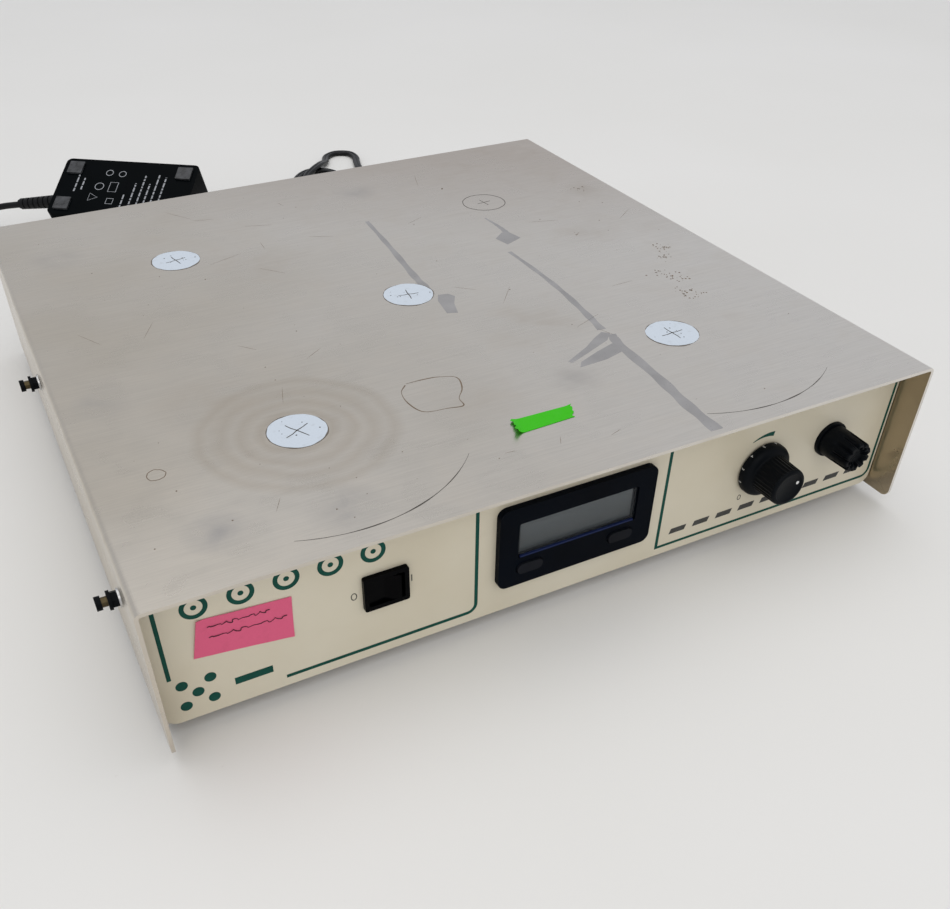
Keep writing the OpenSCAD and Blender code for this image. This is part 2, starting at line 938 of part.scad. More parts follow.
module mains_connector() {
    size = [connector_l, 15, 8.4];
    color([0.07, 0.07, 0.08])
        at_supply()
            translate(supply_mid + [supply_l, 0, 0]) {
                translate([0, -size[1] / 2, -size[2] / 2])
                    rotate([90, 0, 90])
                        linear_extrude(size[0])
                            polygon(rounded(size[1], size[2], 4));
                translate([connector_l - eps, 0, 0])
                    rotate([0, 90, 0])
                        ribbed_sleeve(18, 4, 3.4, 5);
            }
}

module mains_lead() {
    color([0.06, 0.06, 0.07]) {
        tube(mains_route_in, mains_wide, mains_thick);
        tube(mains_route_out, mains_wide, mains_thick);
    }
}

module mains_coil() {
    color([0.06, 0.06, 0.07])
        coil(mains_coil_at, mains_coil_r, coil_turns_wide * mains_wide, 2 * mains_thick);
}

module mains_plug() {
    body = [24, 22, 17];
    blade = [17, 1.5, 6.3];
    color([0.07, 0.07, 0.08])
        translate(plug_tip)
            rotate([0, 0, 180]) {
                translate([plug_relief_l, 0, 0])
                    rotate([0, -90, 0])
                        ribbed_sleeve(plug_relief_l, 4.4, 3.4, 6);
                translate([plug_relief_l - eps, -body[1] / 2, -body[2] / 2])
                    cube(body);
                for (y = [-6.35, 6.35])
                    translate([plug_relief_l + body[0] - eps, y - blade[1] / 2, -blade[2] / 2])
                        cube(blade);
            }
}

top_cover();
chassis_pan();
front_panel();
rubber_feet();
foot_screws();
side_brackets();
side_studs();
side_thumb_nuts();
side_washers();
switch_body();
power_rocker();
meter_case();
meter_window();
meter_display();
meter_button(meter_button_x[0]);  // meter_button_left
meter_button(meter_button_x[1]);  // meter_button_right
speed_knob();
pot_body();
pot_shaft();
pot_nut();
fuse_holder();
fuse_nut();
fuse_cap();
fuse_link();
drive_deck();
deck_standoffs();
deck_screws();
bearing_housings();
ball_bearings();
spindle(positions[0]);  // spindle_front_left
spindle(positions[1]);  // spindle_front_right
spindle(positions[2]);  // spindle_centre
spindle(positions[3]);  // spindle_rear_left
spindle(positions[4]);  // spindle_rear_right
drive_magnet(positions[0]);  // magnet_front_left
drive_magnet(positions[1]);  // magnet_front_right
drive_magnet(positions[2]);  // magnet_centre
drive_magnet(positions[3]);  // magnet_rear_left
drive_magnet(positions[4]);  // magnet_rear_right
motor_can();
motor_shaft();
motor_pulley();
motor_belt();
cross_belt();
corner_belt();
control_board();
board_parts();
dc_jack();
supply_case();
supply_feet();
supply_relief();
dc_lead();
dc_coil();
dc_plug();
mains_connector();
mains_lead();
mains_coil();
mains_plug();
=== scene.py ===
import json
import math
import random

import bmesh
import bpy
from mathutils import Matrix, Vector


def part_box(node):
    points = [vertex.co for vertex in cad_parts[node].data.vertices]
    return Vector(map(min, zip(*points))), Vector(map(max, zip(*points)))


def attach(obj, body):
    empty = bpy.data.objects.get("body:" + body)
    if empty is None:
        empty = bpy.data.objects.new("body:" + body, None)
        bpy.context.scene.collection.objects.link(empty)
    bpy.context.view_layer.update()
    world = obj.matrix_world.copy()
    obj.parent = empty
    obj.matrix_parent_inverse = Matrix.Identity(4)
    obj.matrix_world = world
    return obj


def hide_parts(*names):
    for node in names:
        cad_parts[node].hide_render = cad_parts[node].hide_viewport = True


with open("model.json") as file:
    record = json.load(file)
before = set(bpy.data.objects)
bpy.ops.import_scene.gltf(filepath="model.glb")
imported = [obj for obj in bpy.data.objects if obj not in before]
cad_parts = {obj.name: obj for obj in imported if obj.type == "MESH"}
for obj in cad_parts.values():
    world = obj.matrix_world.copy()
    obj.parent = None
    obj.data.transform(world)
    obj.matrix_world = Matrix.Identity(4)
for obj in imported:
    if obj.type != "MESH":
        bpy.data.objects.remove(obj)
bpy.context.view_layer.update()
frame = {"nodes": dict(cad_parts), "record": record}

MM = 0.001
NODES = frame["nodes"]
SCENE = bpy.context.scene
TOP_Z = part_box("top_cover")[1].z
PANEL_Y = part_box("front_panel")[0].y
SHARP = math.radians(40)

# Places on the stirrer, in millimetres: x and y on the cover, x and z on the panel
POSITIONS = {
    "front_left": (-93, -96), "front_right": (93, -96), "centre": (0, -3),
    "rear_left": (-93, 90), "rear_right": (93, 90),
}
KNOB_AT = (100, 38.8)
FUSE_AT = (139.6, 42.4)

# Leads, in millimetres: the routes of the design, and the coils that lie behind the case
DC_ROUTE_IN = [
    (-144, 376, 20), (-158, 385, 17.5), (-172, 393, 13), (-187, 398, 8), (-202, 398, 4),
    (-214, 392, 2.5), (-222, 381, 2.5), (-224, 367, 2.5), (-220, 353, 2.5), (-210, 341, 2.5),
    (-196, 332, 2.5), (-181, 324, 2.5), (-167, 314, 2.5), (-156, 301, 2.5), (-148, 286, 3),
    (-144, 270, 4.5), (-141.5, 254, 6.5), (-141.5, 244, 6.8),
]
DC_ROUTE_OUT = [
    (-112, 210.5, 2.3), (-98, 213, 2.5), (-86, 220, 3), (-76, 230, 4.5), (-65, 239, 7.5),
    (-53, 243, 11.5), (-41, 240, 16), (-33, 230, 20), (-30, 218, 23), (-30, 206, 24),
]
MAINS_ROUTE_IN = [
    (0, 271, 25), (12, 263, 23.5), (26, 259, 19), (40, 261, 13), (52, 269, 7), (60, 281, 3.5),
    (64, 296, 2), (66, 312, 2), (67, 328, 2), (67, 344, 2), (68, 360, 2), (71, 376, 2),
    (79, 389, 2), (91, 397, 2), (104, 392, 2), (110, 378, 2), (108, 362, 2), (98, 351, 2.5),
    (85, 351, 3), (77, 362, 3.5), (81, 377, 5), (92, 389, 6), (103, 401, 5.2), (111, 412, 2.6),
    (117.5, 425, 2), (128, 430.5, 2), (138.5, 425, 2), (140, 413, 2), (136, 400, 2),
    (132.5, 386.5, 2), (132, 373, 2), (138, 357, 2), (145, 342, 2), (151, 327, 2), (156, 311, 2),
    (159.5, 297, 2),
]
MAINS_ROUTE_OUT = [(120, 244.8, 5.1), (107, 243.5, 5.6), (93, 241, 7.5), (79, 240, 8.5)]
DC_COIL_AT = (-112, 240)
DC_COIL_R = 25
MAINS_COIL_AT = (120, 285)
MAINS_COIL_R = 34
CORD_STEPS = 4
DC_D = 4.5
MAINS_WIDE = 6.2
MAINS_THICK = 3.4

# The power supply's own frame: it lies tilted and turned behind the case
SUPPLY_FRAME = (
    Matrix.Translation((-124.9, 339.8, 0))
    @ Matrix.Rotation(math.radians(-36), 4, "Z")
    @ Matrix.Rotation(math.radians(24.5), 4, "X")
)
SUPPLY_H = 30

# Stains in the cover's finish: x, y and radius in millimetres, and how strong each one is
BROWN_STAINS = (
    (157, 82, 15, 0.3), (-118, -60, 30, 0.16), (40, -60, 34, 0.14),
    (-60, 60, 36, 0.12), (120, 20, 26, 0.14), (-20, -110, 30, 0.12),
)
GREY_SMUDGES = (
    (-141, -145, 14, 0.5), (-94, -153, 17, 0.4), (-160, -40, 14, 0.3),
    (30, 140, 16, 0.3), (-150, 120, 18, 0.22), (30, -110, 15, 0.25),
)

# Rings round the front left place: each radius as a share of SPILL_R, in metres, and its strength
SPILL_R = 1 / 17
SPILL_RINGS = (
    (0.0, 0.0), (0.24, 0.10), (0.30, 0.42), (0.36, 0.16), (0.44, 0.34),
    (0.50, 0.12), (0.57, 0.30), (0.66, 0.10), (0.72, 0.26), (0.80, 0.0),
)


def added(name, data):
    """A new object in the scene."""
    made = bpy.data.objects.new(name, data)
    SCENE.collection.objects.link(made)
    return made


# ---------------------------------------------------------------- camera and light

def camera():
    """The camera stands in front of the left part of the panel and looks down at the case."""
    place = (-0.19026, -0.42459, 0.29260)
    heading, tilt, roll = (math.radians(a) for a in (-27.0142, 49.2194, 0.0863))
    data = bpy.data.cameras.new("camera")
    data.sensor_fit = "HORIZONTAL"
    data.sensor_width = 36
    data.lens = 37.207
    data.shift_x = 0.0242
    data.shift_y = 0.1219
    eye = added("camera", data)
    turn = Matrix.Rotation(heading, 4, "Z") @ Matrix.Rotation(tilt, 4, "X")
    eye.matrix_world = Matrix.Translation(place) @ turn @ Matrix.Rotation(roll, 4, "Z")
    SCENE.camera = eye


def area_light(name, place, size, power, colour):
    """A rectangular lamp that faces the origin."""
    data = bpy.data.lights.new(name, "AREA")
    data.shape = "RECTANGLE"
    data.size, data.size_y = size
    data.energy = power
    data.color = colour
    lamp = added(name, data)
    lamp.location = place
    lamp.rotation_euler = (-Vector(place)).to_track_quat("-Z", "Y").to_euler()


def studio():
    """Soft light from above, a weaker one from the front left, and a pale even surround."""
    world = bpy.data.worlds.new("surround")
    world.use_nodes = True
    background = world.node_tree.nodes["Background"].inputs
    background["Color"].default_value = (0.93, 0.95, 1, 1)
    background["Strength"].default_value = 0.62
    SCENE.world = world
    area_light("overhead", (0.1, 0.1, 2.6), (3.6, 3.0), 30, (1, 0.985, 0.96))
    area_light("front_fill", (-0.9, -2.2, 1.9), (2.6, 1.6), 16, (1, 0.97, 0.93))
    SCENE.view_settings.view_transform = "Standard"


# ---------------------------------------------------------------- materials

def shade(colour, factor):
    """A lighter or darker colour."""
    return tuple(min(1.0, c * factor) for c in colour)


def rgba(colour):
    """An opaque colour, or the socket that gives one."""
    return colour if isinstance(colour, bpy.types.NodeSocket) else (*colour, 1)


class Look:
    """A material with its nodes: every pattern is laid out in the frame's own metres."""

    def __init__(self, name, rough, metallic=0.0, **sockets):
        self.material = bpy.data.materials.new(name)
        self.material.use_nodes = True
        self.tree = self.material.node_tree
        self.shader = self.tree.nodes["Principled BSDF"]
        self.set(self.shader, {"Roughness": rough, "Metallic": metallic, **sockets})
        self.place = self.add("ShaderNodeTexCoord").outputs["Object"]

    def set(self, node, values):
        """Gives a node's inputs, by name or number, a value or a link each."""
        for key, value in values.items():
            if isinstance(value, bpy.types.NodeSocket):
                self.tree.links.new(value, node.inputs[key])
            else:
                node.inputs[key].default_value = value

    def add(self, kind, values=None, **settings):
        """A new node with its settings and inputs."""
        node = self.tree.nodes.new(kind)
        for key, value in settings.items():
            setattr(node, key, value)
        self.set(node, values or {})
        return node

    def math(self, operation, a, b=0.0):
        return self.add("ShaderNodeMath", {0: a, 1: b}, operation=operation).outputs[0]

    def along(self, axis):
        """The place along one axis, in metres."""
        return self.add("ShaderNodeSeparateXYZ", {"Vector": self.place}).outputs[axis]

    def noise(self, size, detail=3.0, stretch=(1, 1, 1), distortion=0.0):
        """Noise with blotches about size metres wide, from 0 to 1."""
        place = self.add("ShaderNodeMapping", {"Vector": self.place, "Scale": stretch}).outputs[0]
        values = {"Vector": place, "Scale": 1 / size, "Detail": detail, "Distortion": distortion}
        return self.add("ShaderNodeTexNoise", values).outputs["Fac"]

    def ramp(self, value, stops):
        """Colours between stops of (value, colour)."""
        node = self.add("ShaderNodeValToRGB", {"Fac": value})
        colours = node.color_ramp.elements
        while len(colours) < len(stops):
            colours.new(0.5)
        for element, (at, colour) in zip(colours, stops):
            element.position = at
            element.color = rgba(colour)
        return node.outputs["Color"]

    def varied(self, value, colour, share):
        """A colour that is darker by a share where the value is low, and lighter where it is high."""
        return self.ramp(value, [(0.3, shade(colour, 1 - share)), (0.7, shade(colour, 1 + share))])

    def mix(self, share, a, b, blend="MIX"):
        """Colour a with a share of colour b over it: inputs 6 and 7 are the node's colours."""
        values = {0: share, 6: rgba(a), 7: rgba(b)}
        return self.add("ShaderNodeMix", values, data_type="RGBA", blend_type=blend).outputs[2]

    def between(self, value, low, high, to_low, to_high):
        """The value from low to high, carried over to the range from to_low to to_high."""
        values = {"Value": value, "From Min": low, "From Max": high,
                  "To Min": to_low, "To Max": to_high}
        return self.add("ShaderNodeMapRange", values).outputs[0]

    def distance(self, x, y):
        """Distance in metres from the upright line at x and y, in millimetres."""
        flat = self.add("ShaderNodeVectorMath", {0: self.place, 1: (1, 1, 0)}, operation="MULTIPLY")
        away = {0: flat.outputs[0], 1: (x * MM, y * MM, 0)}
        return self.add("ShaderNodeVectorMath", away, operation="DISTANCE").outputs["Value"]

    def bump(self, height, strength, depth):
        """A surface that rises and falls with height, by at most depth metres."""
        values = {"Height": height, "Strength": strength, "Distance": depth}
        return self.add("ShaderNodeBump", values).outputs["Normal"]

    def finish(self, colour=None, rough=None, normal=None):
        """The finished material, with its patterns linked to its shader."""
        for key, value in (("Base Color", colour), ("Roughness", rough), ("Normal", normal)):
            if value is not None:
                self.tree.links.new(value, self.shader.inputs[key])
        return self.material


def moulded(name, colour, rough, vary=0.25, grain=0.0006, bump=0.15, gloss=0.06):
    """Plastic, rubber or paint: uneven in colour and gloss, with a fine grain."""
    look = Look(name, rough, **{"Specular IOR Level": gloss})
    blotches = look.noise(0.02)
    fine = look.noise(grain, detail=1.5)
    tint = look.varied(blotches, colour, vary)
    sheen = look.between(blotches, 0.2, 0.8, rough - 0.07, rough + 0.07)
    return look.finish(tint, sheen, look.bump(fine, bump, 0.0002))


def metal(name, colour, rough, stretch=(1, 1, 1)):
    """Bare metal with drawn or turned marks."""
    look = Look(name, rough, metallic=1.0)
    marks = look.noise(0.0008, detail=2.0, stretch=stretch)
    tint = look.varied(look.noise(0.015), colour, 0.12)
    gloss = look.between(marks, 0.2, 0.8, rough - 0.08, rough + 0.1)
    return look.finish(tint, gloss, look.bump(marks, 0.12, 0.0001))


def inner_flange(look, across):
    """How much painted shade a face gets: most on the inner faces of the side flanges, 0 elsewhere.
    """
    flange_x = 0.17
    normal = look.add("ShaderNodeNewGeometry").outputs["Normal"]
    facing = look.add("ShaderNodeSeparateXYZ", {"Vector": normal}).outputs["X"]
    outwards = look.math("MULTIPLY", facing, look.math("SIGN", across))
    far = look.math("GREATER_THAN", look.math("ABSOLUTE", across), flange_x)
    return look.math("MULTIPLY", look.between(outwards, -0.4, -0.8, 0.0, 0.85), far)


def stained(look, colour, cloud, places, core, broken, tint):
    """Soft round stains, full out to the core's share of their radius and broken up by the cloud."""
    for x, y, r, depth in places:
        near = look.between(look.distance(x, y), r * MM, core * r * MM, 0.0, depth)
        near = look.math("MULTIPLY", near, look.between(cloud, *broken))
        colour = look.mix(near, colour, tint)
    return colour


def cover_steel(name, wear=True):
    """Brushed sheet with the grain across the case, and painted shade on the inner faces of its
    flanges.
    It is darker and warmer towards its left, painted shade darkens its rear right corner, and wear
    adds the stains and spill rings."""
    left, right, dull = (0.585, 0.530, 0.445), (0.765, 0.735, 0.690), (0.740, 0.705, 0.655)
    look = Look(name, 0.3, metallic=1.0)
    grain = look.noise(0.0005, detail=3.0, stretch=(0.03, 1, 0.03))
    broad = look.noise(0.13, detail=2.0)
    cloud = look.noise(0.017, detail=6.0, distortion=0.4)
    across = look.along("X")
    side = look.between(across, -0.18, 0.18, 0.0, 1.0)
    corner = look.math("ADD", look.math("MULTIPLY", across, 0.6), look.along("Y"))
    colour = look.mix(side, left, right)
    colour = look.mix(look.between(broad, 0.35, 0.7, 0.0, 0.55), colour, dull)
    colour = look.mix(look.between(cloud, 0.5, 0.8, 0.0, 0.18), colour, (0.50, 0.445, 0.385))
    # painted shade: the sheet darkens towards its rear right corner
    darker = look.between(corner, 0.08, 0.24, 0.0, 1.0)
    colour = look.mix(darker, colour, (0.78, 0.73, 0.69), "MULTIPLY")
    streak = look.between(grain, 0.3, 0.7, 0.955, 1.04)
    lines = look.add("ShaderNodeCombineColor", {"Red": streak, "Green": streak, "Blue": streak})
    colour = look.mix(1.0, colour, lines.outputs[0], "MULTIPLY")
    if wear:
        uneven = look.math("MULTIPLY", look.noise(0.014, detail=3.0), 0.006)
        rings = look.math("ADD", look.distance(*POSITIONS["front_left"]), uneven)
        stops = [(share, (depth, depth, depth)) for share, depth in SPILL_RINGS]
        stain = look.ramp(look.math("MULTIPLY", rings, 1 / SPILL_R), stops)
        colour = look.mix(stain, colour, (0.43, 0.355, 0.265))
        colour = stained(look, colour, cloud, BROWN_STAINS, 0.2, (0.3, 0.65, 0.2, 1.6),
                         (0.44, 0.375, 0.30))
        colour = stained(look, colour, cloud, GREY_SMUDGES, 0.1, (0.35, 0.6, 0.1, 1.4),
                         (0.40, 0.385, 0.375))
    # painted shade, warm brown, on the inner faces of the side flanges
    colour = look.mix(inner_flange(look, across), colour, (0.38, 0.30, 0.185))
    gloss = look.between(cloud, 0.3, 0.7, 0.25, 0.35)
    return look.finish(colour, gloss, look.bump(grain, 0.08, 0.0001))


def cream_paint(name):
    """Ivory panel paint in uneven shades, with faint rub marks."""
    look = Look(name, 0.38, **{"Coat Weight": 0.12, "Coat Roughness": 0.25})
    broad = look.noise(0.05, detail=3.0)
    rub = look.noise(0.006, detail=4.0, stretch=(0.25, 1, 1))
    peel = look.noise(0.0011, detail=1.0)
    colour = look.ramp(broad, [(0.3, (0.640, 0.578, 0.440)), (0.7, (0.690, 0.636, 0.505))])
    colour = look.mix(look.between(rub, 0.62, 0.85, 0.0, 0.22), colour, (0.60, 0.53, 0.40))
    gloss = look.between(rub, 0.3, 0.7, 0.33, 0.46)
    return look.finish(colour, gloss, look.bump(peel, 0.06, 0.0001))


def clear(name, tint, cover=0.16):
    """Thin clear plastic or glass, with faint haze: most of the light goes straight through."""
    rough = 0.04
    look = Look(name, rough, Alpha=cover)
    haze = look.noise(0.012, detail=3.0)
    colour = look.ramp(haze, [(0.3, shade(tint, 0.8)), (0.7, tint)])
    return look.finish(colour, look.between(haze, 0.3, 0.7, rough, rough + 0.05))


def bladed(node):
    """The mains plug: a black moulded body, and bare brass blades beyond its far face."""
    blade_l = 16.8 * MM
    look = Look(node, 0.4, **{"Specular IOR Level": 0.12})
    blade = look.math("LESS_THAN", look.along("X"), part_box(node)[0].x + blade_l)
    worn = look.noise(0.006, detail=3.0)
    brass = look.ramp(worn, [(0.3, (0.62, 0.47, 0.22)), (0.7, (0.74, 0.58, 0.30))])
    black = look.ramp(worn, [(0.3, (0.0035, 0.0035, 0.004)), (0.7, (0.006, 0.006, 0.007))])
    look.tree.links.new(blade, look.shader.inputs["Metallic"])
    sheen = look.between(blade, 0.0, 1.0, 0.42, 0.28)
    return look.finish(look.mix(blade, black, brass), sheen,
                       look.bump(look.noise(0.0007), 0.1, 0.0001))


def pad(name):
    """Soft glossy pads of the power supply: dark, with greyer rubbed patches."""
    look = Look(name, 0.25, **{"Specular IOR Level": 0.35})
    rubbed = look.noise(0.006, detail=4.0)
    tint = look.ramp(rubbed, [(0.4, (0.018, 0.019, 0.021)), (0.75, (0.075, 0.078, 0.084))])
    return look.finish(tint, look.between(rubbed, 0.3, 0.7, 0.2, 0.4),
                       look.bump(rubbed, 0.1, 0.0002))


def display(name):
    """A switched-off reflective display: grey-green, with a painted reflection that makes it lighter
    towards its top.
    """
    look = Look(name, 0.24)
    cloud = look.noise(0.01, detail=2.0)
    low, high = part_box("meter_display")
    # painted reflection: the display grows lighter from its bottom to its top
    reflection_rise = look.between(look.along("Z"), low.z, high.z, 0.0, 1.0)
    colour = look.ramp(reflection_rise, [(0.0, (0.062, 0.072, 0.076)), (1.0, (0.125, 0.142, 0.150))])
    colour = look.mix(look.between(cloud, 0.4, 0.8, 0.0, 0.35), colour, (0.085, 0.094, 0.098))
    return look.finish(colour, None, look.bump(look.noise(0.0006), 0.05, 0.0001))


def printed(name, colour, rough=0.5, wear=0.25):
    """Ink or paint with small worn places."""
    look = Look(name, rough, **{"Specular IOR Level": 0.12})
    patch = look.noise(0.0035, detail=4.0)
    tint = look.ramp(patch, [(0.25, shade(colour, 1 + wear)), (0.6, colour)])
    return look.finish(tint, look.between(patch, 0.2, 0.8, rough - 0.06, rough + 0.1))


def paper(name, colour, dirt, amount=0.35):
    """Paper or tape: fibres, a little dirt and a soft crease pattern."""
    rough = 0.6
    look = Look(name, rough, **{"Specular IOR Level": 0.15})
    crease = look.noise(0.009, detail=3.0, distortion=1.0)
    spots = look.noise(0.004, detail=5.0)
    tint = look.mix(look.between(spots, 0.58, 0.8, 0.0, amount), colour, dirt)
    fine = look.noise(0.0009, detail=3.0)
    tint = look.mix(look.between(fine, 0.4, 0.8, 0.0, 0.12), tint, shade(colour, 0.8))
    normal = look.bump(look.math("ADD", crease, look.math("MULTIPLY", fine, 0.3)), 0.25, 0.0006)
    return look.finish(tint, look.between(crease, 0.3, 0.7, rough - 0.1, rough + 0.1), normal)


# ---------------------------------------------------------------- mesh building

def on_top(x, y, up):
    """A place on the cover: millimetres to the frame's metres."""
    return Vector((x * MM, y * MM, TOP_Z + up * MM))


def on_panel(x, z, out):
    """A place on the control panel, out from its painted face."""
    return Vector((x * MM, PANEL_Y - out * MM, z * MM))


def on_supply(x, y, up):
    """A place on the power supply's label face."""
    return (SUPPLY_FRAME @ Vector((x, y, SUPPLY_H + up))) * MM


def polar(centre, r, degrees):
    """A place in a surface's own two millimetre axes, by its distance and angle from a centre."""
    a = math.radians(degrees)
    return centre[0] + r * math.cos(a), centre[1] + r * math.sin(a)


def arc(centre, r, start, end, steps):
    """Points of an arc, from its start to its end in degrees."""
    return [polar(centre, r, start + (end - start) * i / steps) for i in range(steps + 1)]


def circle(centre, r, steps=48):
    """Points of a whole circle, with the first one not repeated."""
    return arc(centre, r, 0, 360, steps)[:-1]


def rectangle(x, y, wide, high):
    """The corners of a rectangle, from its lowest and leftmost one."""
    return [(x, y), (x + wide, y), (x + wide, y + high), (x, y + high)]


def straight(a, b, steps=1):
    """Points of a straight line."""
    return [(a[0] + (b[0] - a[0]) * i / steps, a[1] + (b[1] - a[1]) * i / steps)
            for i in range(steps + 1)]


def bridge(bm, rings, closed=False):
    """Faces between each two rings, with a cap at either end or round in a closed loop."""
    following = rings[1:] + rings[:1] if closed else rings[1:]
    for a, b in zip(rings, following):
        for i in range(len(a)):
            j = (i + 1) % len(a)
            bm.faces.new((a[i], a[j], b[j], b[i]))
    if not closed:
        bm.faces.new(rings[0])
        bm.faces.new(rings[-1])


def band(bm, line, width, place, low=0.0, high=0.05, closed=False):
    """A flat strip along a line: width is a number, or a function of the share of the way."""
    line = [Vector(p) for p in line]
    last = len(line) - 1
    rings = []
    for i, here in enumerate(line):
        before = line[i - 1] if i or closed else here
        after = line[(i + 1) % len(line)] if i < last or closed else here
        along = (after - before).normalized()
        side = Vector((-along.y, along.x)) * (width(i / last) if callable(width) else width) / 2
        corners = ((here - side, low), (here + side, low), (here + side, high), (here - side, high))
        rings.append([bm.verts.new(place(c.x, c.y, h)) for c, h in corners])
    bridge(bm, rings, closed)


def plate(bm, outline, place, low=0.0, high=0.05):
    """A flat plate with the given outline."""
    bridge(bm, [[bm.verts.new(place(x, y, up)) for x, y in outline] for up in (low, high)])


def sheet_between(bm, rows, thick, normal):
    """A thin closed sheet over a grid of points, thick metres along normal."""
    lower = [[bm.verts.new(p) for p in row] for row in rows]
    upper = [[bm.verts.new(p + normal * thick) for p in row] for row in rows]
    high, wide = len(rows), len(rows[0])
    for i in range(high - 1):
        for j in range(wide - 1):
            for side in (lower, upper):
                bm.faces.new((side[i][j], side[i][j + 1], side[i + 1][j + 1], side[i + 1][j]))
    rim = [(0, j) for j in range(wide)] + [(i, wide - 1) for i in range(1, high)]
    rim += [(high - 1, j) for j in range(wide - 2, -1, -1)] + [(i, 0) for i in range(high - 2, 0, -1)]
    for (a, b), (c, d) in zip(rim, rim[1:] + rim[:1]):
        bm.faces.new((lower[a][b], lower[c][d], upper[c][d], upper[a][b]))


def turned(bm, profile, at, steps, flute=None):
    """A turned shape on an axis out of the panel; profile is (radius, distance out) from its back
    to its front, and flute gives what is cut off the radius at an angle and distance."""
    rings = []
    for r, out in profile:
        ring = []
        for i in range(steps):
            a = 2 * math.pi * i / steps
            cut = flute(a, out) if flute else 0.0
            ring.append(bm.verts.new(on_panel(at[0] + (r - cut) * math.cos(a),
                                              at[1] + (r - cut) * math.sin(a), out)))
        rings.append(ring)
    bridge(bm, rings)


def piece(name, bm, material, body):
    """A finished mesh that rides on a body."""
    bmesh.ops.recalc_face_normals(bm, faces=bm.faces)
    mesh = bpy.data.meshes.new(name)
    bm.to_mesh(mesh)
    bm.free()
    made = added(name, mesh)
    mesh.materials.append(material)
    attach(made, body)
    return made


def smooth_by_angle(made, degrees):
    """Marks the sharp edges, so that only the curved stretches look smooth."""
    mesh = made.data
    bm = bmesh.new()
    bm.from_mesh(mesh)
    for edge in bm.edges:
        if len(edge.link_faces) == 2:
            edge.smooth = edge.calc_face_angle(0) < math.radians(degrees)
    bm.to_mesh(mesh)
    bm.free()
    for polygon in mesh.polygons:
        polygon.use_smooth = True


# ---------------------------------------------------------------- leads

def catmull(points, steps):
    """A smooth line through the points, with the given steps between each two."""
    points = [Vector(p) for p in points]
    padded = [2 * points[0] - points[1]] + points + [2 * points[-1] - points[-2]]
    line = []
    for a, b, c, d in zip(padded, padded[1:], padded[2:], padded[3:]):
        for i in range(steps):
            t = i / steps
            line.append(0.5 * (2 * b + (c - a) * t + (2 * a - 5 * b + 4 * c - d) * t * t
                               + (3 * b - a - 3 * c + d) * t * t * t))
    return line + [points[-1]]


def flat_curve(points, steps):
    """A smooth line through points that have no height."""
    return [(p.x, p.y) for p in catmull([(*p, 0) for p in points], steps)]


def eased(keys, u):
    """The value at u of keys (place, value), with smooth steps between them."""
    for (u0, v0), (u1, v1) in zip(keys, keys[1:]):
        if u <= u1:
            t = (u - u0) / (u1 - u0)
            return v0 + (v1 - v0) * t * t * (3 - 2 * t)
    return keys[-1][1]


def coil(at, middle, wide, heights, start):
    """Clockwise turns: inwards in the lower layer, up, and outwards in the upper layer."""
    outer, inner = middle + wide, middle - wide
    radius = [(0, outer), (0.8, outer), (1, middle), (1.8, middle), (2, inner),
              (3.25, inner), (3.45, middle), (4.25, middle), (4.45, outer), (5.25, outer)]
    height = [(0, heights[0]), (2.5, heights[0]), (2.9, heights[1]), (5.25, heights[1])]
    turns, per_turn = 5.25, 20
    line = []
    for i in range(int(turns * per_turn) + 1):
        u = i / per_turn
        line.append((*polar(at, eased(radius, u), start - 360 * u), eased(height, u)))
    return line


def low_voltage_lead(material):
    """A round lead from the jack's plug to the power supply."""
    winding = coil(DC_COIL_AT, DC_COIL_R, DC_D, (2.25, 6.75), -90)
    route = DC_ROUTE_OUT[::-1] + winding[1:] + DC_ROUTE_IN[::-1]
    line = [p * MM for p in catmull(route, CORD_STEPS)]
    data = bpy.data.curves.new("dc_cord", "CURVE")
    data.dimensions = "3D"
    data.bevel_depth = DC_D * MM / 2
    data.bevel_resolution = 3
    spline = data.splines.new("POLY")
    spline.points.add(len(line) - 1)
    for point, at in zip(spline.points, line):
        point.co = (*at, 1)
    data.materials.append(material)
    lead = added("dc_cord", data)
    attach(lead, "stirrer")
    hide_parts("dc_lead", "dc_coil")


def mains_lead(material):
    """A flat twin lead from the power supply's inlet to the mains plug."""
    winding = coil(MAINS_COIL_AT, MAINS_COIL_R, MAINS_WIDE, (1.7, 5.1), 0)
    route = MAINS_ROUTE_IN + winding + MAINS_ROUTE_OUT[1:]
    line = [p * MM for p in catmull(route, CORD_STEPS)]
    lobe = MAINS_THICK / 2
    apart = MAINS_WIDE / 2 - lobe
    waist = math.degrees(math.acos(apart / lobe))
    outline = arc((apart, 0), lobe, waist - 180, 180 - waist, 9)[:-1]
    outline += arc((-apart, 0), lobe, waist, 360 - waist, 9)[:-1]
    bm = bmesh.new()
    rings = []
    for i, here in enumerate(line):
        along = (line[min(i + 1, len(line) - 1)] - line[max(i - 1, 0)]).normalized()
        side = Vector((along.y, -along.x, 0)).normalized()
        up = side.cross(along)
        rings.append([bm.verts.new(here + (side * x + up * y) * MM) for x, y in outline])
    bridge(bm, rings)
    lead = piece("mains_cord", bm, material, "stirrer")
    smooth_by_angle(lead, 50)
    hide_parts("mains_lead", "mains_coil")


# ---------------------------------------------------------------- the panel

def border(left, right, low, high):
    """A line along the bottom that turns up in a round corner at its right end."""
    r = 4
    corner = arc((right - r, low + r), r, -90, 0, 8)
    return straight((left, low), (right - r, low)) + corner + [(right, high)]


def panel_print(ink):
    """The green borders of the two halves of the panel, and the arc over the knob."""
    top = 69
    wide, narrow = 1.6, 1.4
    bm = bmesh.new()
    band(bm, straight((-171.2, 29.4), (-171.2, top)), wide, on_panel)
    band(bm, border(-128.2, -45, 11.5, top), wide, on_panel)
    band(bm, straight((46.9, top), (46.9, 10.3)), wide, on_panel)
    band(bm, border(47.6, 174, 11, top), narrow, on_panel)
    band(bm, arc(KNOB_AT, 17, 118, 78, 20), lambda s: 0.3 + 2.1 * s, on_panel)
    piece("panel_borders", bm, ink, "stirrer")


